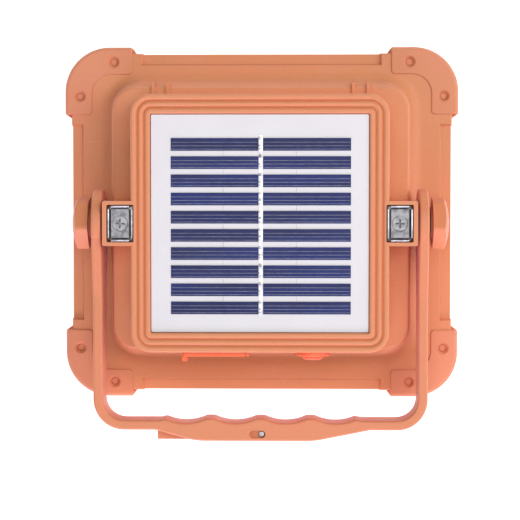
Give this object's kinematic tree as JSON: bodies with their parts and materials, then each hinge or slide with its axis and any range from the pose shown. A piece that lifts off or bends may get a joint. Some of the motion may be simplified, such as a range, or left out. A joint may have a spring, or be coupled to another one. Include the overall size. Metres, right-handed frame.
{
  "type": "rechargeable solar work light",
  "caption": "Portable square LED flood lamp with a solar panel and magnets on its back, corner guards and a swinging bail handle with a fold-out hook.",
  "frame": {"origin": "middle of the lens's outer face; the corner guards stand 2.4 mm in front of it", "axes": "+Z from the lens to the solar panel on the back, +Y to the lamp's top, +X across it"},
  "size_m": [0.164, 0.1618, 0.043],
  "materials": {
    "shell": "fine moulded texture",
    "guard": "matte soft-touch",
    "handle": "fine moulded texture",
    "knob": "fine moulded texture",
    "soft_red": "satin silicone",
    "clear_lens": "clear polycarbonate",
    "reflector": "metallised",
    "lamp_board": "white solder mask on aluminium",
    "led": "yellow phosphor",
    "circuit": "green solder mask",
    "component": "moulded",
    "steel": "zinc plated",
    "magnet": "nickel plated",
    "brass": "knurled",
    "battery": "heat-shrink sleeve",
    "nickel": "bare",
    "foam": "closed-cell foam",
    "cell": "blue-black silicon",
    "panel_white": "white laminate",
    "laminate": "clear gloss",
    "ribbon": "tinned",
    "wire": "silicone insulation",
    "nylon": "nylon",
    "black_rubber": "matte"
  },
  "bodies": {
    "lamp_body": {"battery_cell_1": "battery", "battery_cell_2": "battery", "battery_cell_3": "battery", "battery_holder": "component", "battery_leads": "wire", "battery_pad": "foam", "battery_tabs": "nickel", "battery_tape": "foam", "board_parts": "component", "body_seal": "black_rubber", "button_collar": "soft_red", "case_screws": "steel", "corner_guard_low_left": "guard", "corner_guard_low_right": "guard", "corner_guard_top_left": "guard", "corner_guard_top_right": "guard", "flood_leds": "led", "friction_washer_left": "nylon", "friction_washer_right": "nylon", "front_bezel": "shell", "guard_rivets": "guard", "lamp_board": "lamp_board", "lamp_board_screws": "steel", "lamp_leads": "wire", "lens": "clear_lens", "lens_gasket": "black_rubber", "magnet_cup_left": "steel", "magnet_cup_right": "steel", "magnet_left": "magnet", "magnet_right": "magnet", "magnet_screws": "steel", "main_board": "circuit", "main_board_screws": "steel", "port_cover_anchor": "soft_red", "power_switch": "component", "rear_housing": "shell", "reflector_tray": "reflector", "solar_backing": "panel_white", "solar_cells": "cell", "solar_cover": "laminate", "solar_leads": "wire", "solar_ribbon": "ribbon", "solar_tape": "foam", "threaded_insert_left": "brass", "threaded_insert_right": "brass", "usb_a_socket": "steel", "usb_c_socket": "steel"},
    "handle": {"handle": "handle", "hook_pin": "steel"},
    "hanging_hook": {"hanging_hook": "handle"},
    "knob_left": {"knob_left": "knob", "pivot_bolt_left": "steel", "steel_washer_left": "steel"},
    "knob_right": {"knob_right": "knob", "pivot_bolt_right": "steel", "steel_washer_right": "steel"},
    "power_button": {"power_button": "soft_red", "switch_plunger": "component"},
    "port_cover": {"port_cover": "soft_red"}
  },
  "joints": [
    {"name": "handle_swing", "type": "hinge", "parent": "lamp_body", "child": "handle", "pos_m": [0, 0, 0.0266], "axis": [-1, 0, 0], "range_deg": [-4, 184]},
    {"name": "hook_fold", "type": "hinge", "parent": "handle", "child": "hanging_hook", "pos_m": [0.0006, -0.086, 0.0266], "axis": [0, 0, 1], "range_deg": [0, 90]},
    {"name": "knob_turn_left", "type": "hinge", "parent": "lamp_body", "child": "knob_left", "pos_m": [-0.069, 0, 0.0266], "axis": [-1, 0, 0], "range_deg": [0, 360]},
    {"name": "knob_turn_right", "type": "hinge", "parent": "lamp_body", "child": "knob_right", "pos_m": [0.069, 0, 0.0266], "axis": [1, 0, 0], "range_deg": [0, 360]},
    {"name": "button_press", "type": "slide", "parent": "lamp_body", "child": "power_button", "axis": [0, 1, 0], "range_m": [0, 0.0008], "stiffness_N_per_m": 1500},
    {"name": "cover_open", "type": "hinge", "parent": "lamp_body", "child": "port_cover", "pos_m": [-0.0067, -0.053, 0.0322], "axis": [0, 0, 1], "range_deg": [0, 105]}
  ]
}
